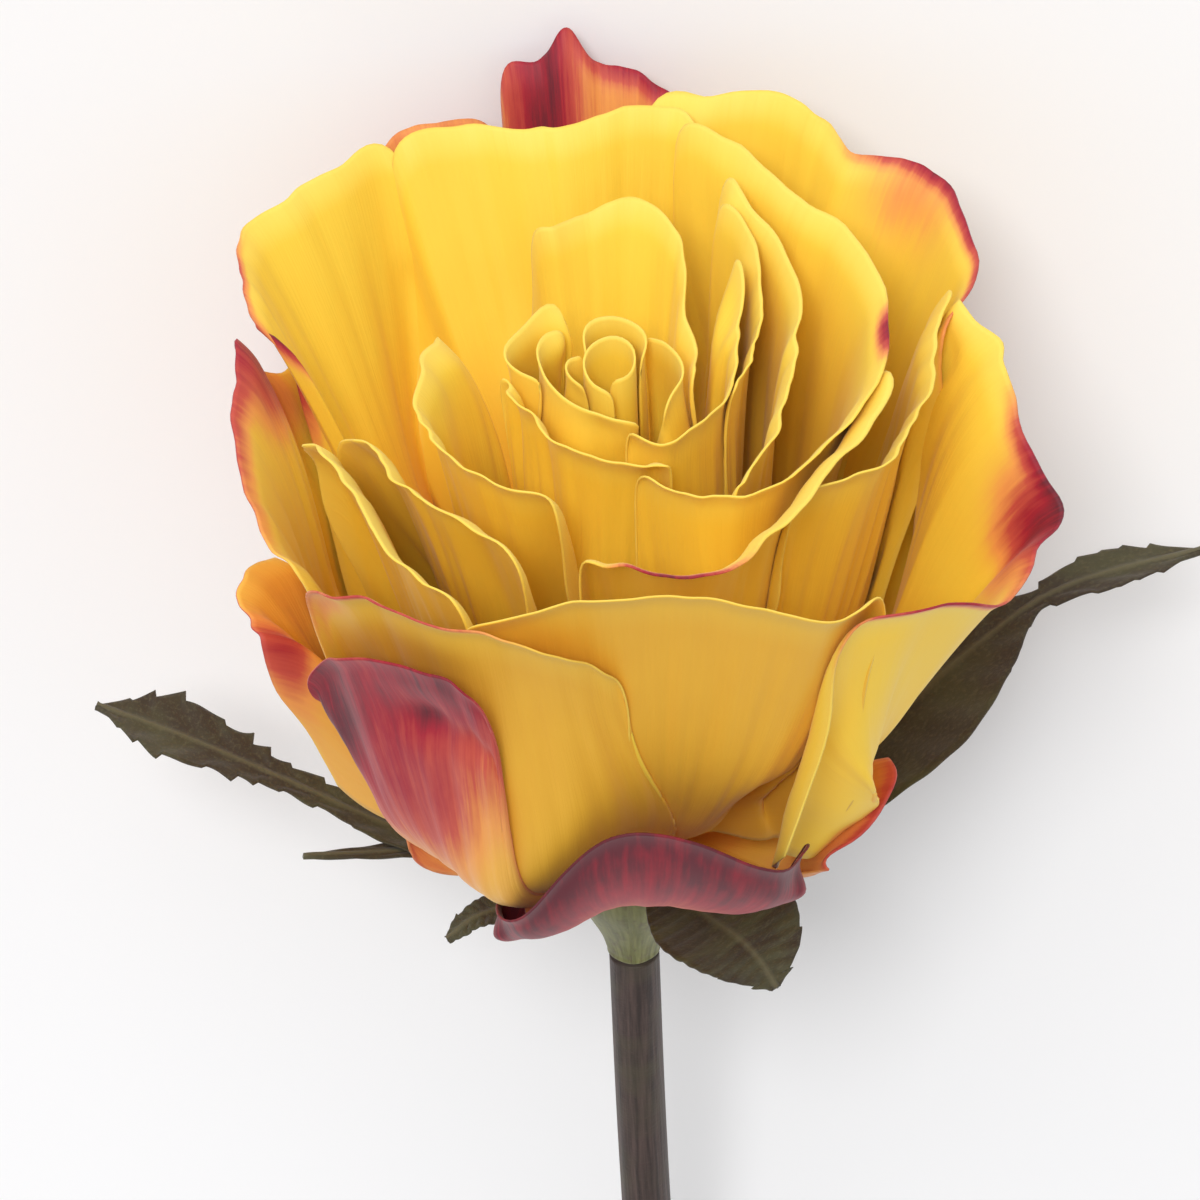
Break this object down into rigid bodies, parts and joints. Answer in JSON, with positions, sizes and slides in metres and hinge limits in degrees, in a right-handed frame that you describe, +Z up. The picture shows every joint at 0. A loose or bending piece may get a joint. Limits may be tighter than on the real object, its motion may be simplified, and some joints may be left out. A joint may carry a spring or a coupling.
{
  "type": "cut rose",
  "caption": "Cut rose lying on its back: a full yellow bloom, its outer petals flushed red, with toothed sepals, a small hip and a short trimmed stem.",
  "frame": {"origin": "middle of the flower's box, on the surface that it lies on", "axes": "+Y runs from the bloom along the stem to its cut end, +Z is up from the surface, and +X completes them"},
  "size_m": [0.1122, 0.2372, 0.0825],
  "materials": {
    "petal": "soft satin petal, golden yellow, deeper orange down in the folds, with fine veins",
    "guard_petal": "soft satin petal, orange flushed with crimson and maroon towards the edge",
    "sepal": "dull dark olive leaf, downy, with a raised midrib",
    "hip": "satin olive green skin",
    "stem": "dull dark brown rind with fine lengthwise streaks, pale green pith at the cut"
  },
  "bodies": {
    "root": {"petal_01_heart_core": "petal", "petal_02_heart_back": "petal", "petal_03_heart_left": "petal", "petal_04_heart_wrap": "petal", "petal_05_heart_right": "petal", "petal_06_inner_left": "petal", "petal_07_inner_back": "petal", "petal_08_inner_right": "petal", "petal_09_inner_front": "petal", "petal_10_inner_right_fold": "petal", "petal_11_inner_front_left": "petal", "petal_12_middle_right_fold": "petal", "petal_13_middle_right": "petal", "petal_14_middle_left": "petal", "petal_15_middle_front": "petal", "petal_16_outer_back": "petal", "petal_17_outer_right_inner": "petal", "petal_18_outer_left_inner": "petal", "petal_19_outer_upper_right": "petal", "petal_20_outer_upper_left": "petal", "petal_21_outer_left": "petal", "petal_22_outer_front_right": "petal", "petal_23_outer_front_left": "petal", "petal_24_outer_right": "petal", "petal_25_guard_back_left": "guard_petal", "petal_26_guard_back": "guard_petal", "petal_27_guard_front_left": "guard_petal", "petal_28_guard_front": "guard_petal", "petal_29_guard_left": "guard_petal", "petal_30_guard_right": "guard_petal", "petal_31_guard_under_right": "guard_petal", "petal_32_guard_under_left": "guard_petal", "hip": "hip", "sepal_left": "sepal", "sepal_front_left": "sepal", "sepal_front_right": "sepal", "sepal_right": "sepal", "sepal_back": "sepal", "stem": "stem"}
  },
  "joints": []
}
